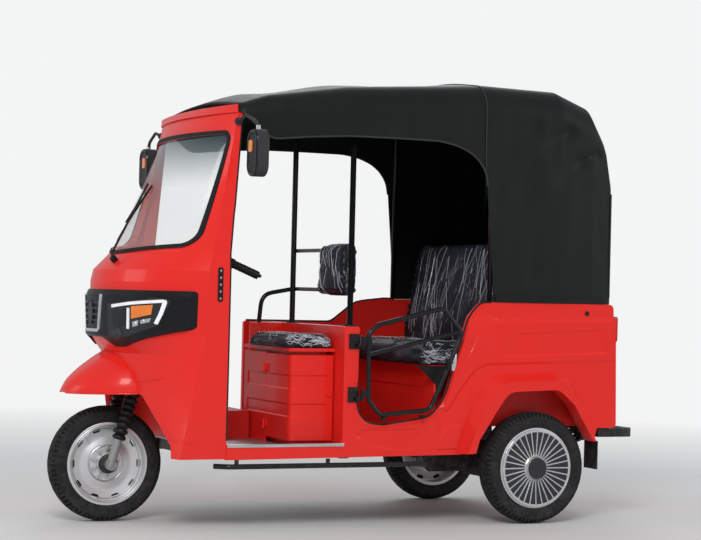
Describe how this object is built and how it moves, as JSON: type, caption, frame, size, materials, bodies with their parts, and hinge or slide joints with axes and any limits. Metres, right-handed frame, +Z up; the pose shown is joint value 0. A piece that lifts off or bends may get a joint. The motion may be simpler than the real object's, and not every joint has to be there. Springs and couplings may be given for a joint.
{
  "type": "electric auto rickshaw",
  "caption": "Three-wheeled passenger auto rickshaw: red steel cowl and tub, black canopy on tubes, driver seat ahead of a rear bench, one steered front wheel and a tubular side gate.",
  "frame": {"origin": "bottom centre of the whole vehicle's box, on the floor", "axes": "+X forward along the vehicle, +Y to its left, +Z up"},
  "size_m": [2.579, 1.51, 1.9577],
  "materials": {
    "body_red": "glossy red enamel",
    "frame_black": "satin black paint",
    "tube_black": "gloss black paint",
    "floor_plate": "ribbed aluminium sheet",
    "motor_black": "matt black paint",
    "screen_glass": "clear glass, tinted along the top",
    "gasket_rubber": "black rubber",
    "panel_black": "satin black plastic",
    "lamp_lens": "clear lens over bright reflector",
    "trim_chrome": "bright trim",
    "mirror_plastic": "black plastic",
    "battery_case": "dark battery cases",
    "seat_vinyl": "black vinyl under clear film",
    "canopy_vinyl": "black coated cloth",
    "flap_rubber": "black rubber sheet",
    "tail_lens": "red lens",
    "tyre_rubber": "black tyre",
    "rim_steel": "silver paint",
    "cover_trim": "black disc with silver spokes",
    "fork_steel": "grey and silver paint",
    "bellows_rubber": "black rubber"
  },
  "bodies": {
    "chassis": {"arch_flares": "body_red", "backrest_board": "tube_black", "battery_block": "battery_case", "bench_backrest": "seat_vinyl", "bench_box": "body_red", "bench_cushion": "seat_vinyl", "body_side_left": "body_red", "body_side_right": "body_red", "brow_visor": "body_red", "canopy": "canopy_vinyl", "canopy_frame": "tube_black", "chassis_frame": "frame_black", "driver_backrest": "seat_vinyl", "driver_cushion": "seat_vinyl", "floor_pan": "floor_plate", "front_cowl": "body_red", "front_fender": "body_red", "gate_hinges": "tube_black", "grille": "trim_chrome", "headlamps": "lamp_lens", "lamp_panel": "panel_black", "mirrors": "mirror_plastic", "motor_block": "motor_black", "mud_flaps": "flap_rubber", "partition": "body_red", "rear_axle": "frame_black", "rear_bumper": "frame_black", "rear_deck": "body_red", "rear_panel": "body_red", "rear_springs": "frame_black", "seat_box": "body_red", "seat_lid": "body_red", "side_steps": "tube_black", "steering_neck": "frame_black", "step_box": "body_red", "tail_lamps": "tail_lens", "toe_board": "body_red", "windscreen_frame": "body_red", "windscreen_gasket": "gasket_rubber", "windscreen_glass": "screen_glass", "wiper": "panel_black"},
    "steering": {"front_fork": "fork_steel", "fork_bellows": "bellows_rubber", "handlebar": "tube_black", "grips": "bellows_rubber"},
    "front_wheel": {"front_tyre": "tyre_rubber", "front_rim": "rim_steel"},
    "rear_wheel_left": {"rear_tyre_left": "tyre_rubber", "rear_rim_left": "rim_steel", "rear_cover_left": "cover_trim"},
    "rear_wheel_right": {"rear_tyre_right": "tyre_rubber", "rear_rim_right": "rim_steel", "rear_cover_right": "cover_trim"},
    "gate": {"gate": "tube_black"},
    "battery_door": {"battery_door": "body_red"}
  },
  "joints": [
    {"name": "steering_turn", "type": "hinge", "parent": "chassis", "child": "steering", "pos_m": [1.01581, 0, 0.23623], "axis": [-0.2924, 0, 0.9563], "range_deg": [-38, 38]},
    {"name": "front_wheel_spin", "type": "hinge", "parent": "steering", "child": "front_wheel", "pos_m": [1.0445, 0, 0.245], "axis": [0, 1, 0], "continuous": true},
    {"name": "rear_left_spin", "type": "hinge", "parent": "chassis", "child": "rear_wheel_left", "pos_m": [-0.7555, 0.495, 0.245], "axis": [0, 1, 0], "continuous": true},
    {"name": "rear_right_spin", "type": "hinge", "parent": "chassis", "child": "rear_wheel_right", "pos_m": [-0.7555, -0.495, 0.245], "axis": [0, 1, 0], "continuous": true},
    {"name": "gate_swing", "type": "hinge", "parent": "chassis", "child": "gate", "pos_m": [0.0865, 0.532, 0.5], "axis": [0, 0, -1], "range_deg": [0, 110]},
    {"name": "battery_door_swing", "type": "hinge", "parent": "chassis", "child": "battery_door", "pos_m": [0.376, 0.14, 0.4], "axis": [0, 0, -1], "range_deg": [0, 95]}
  ]
}
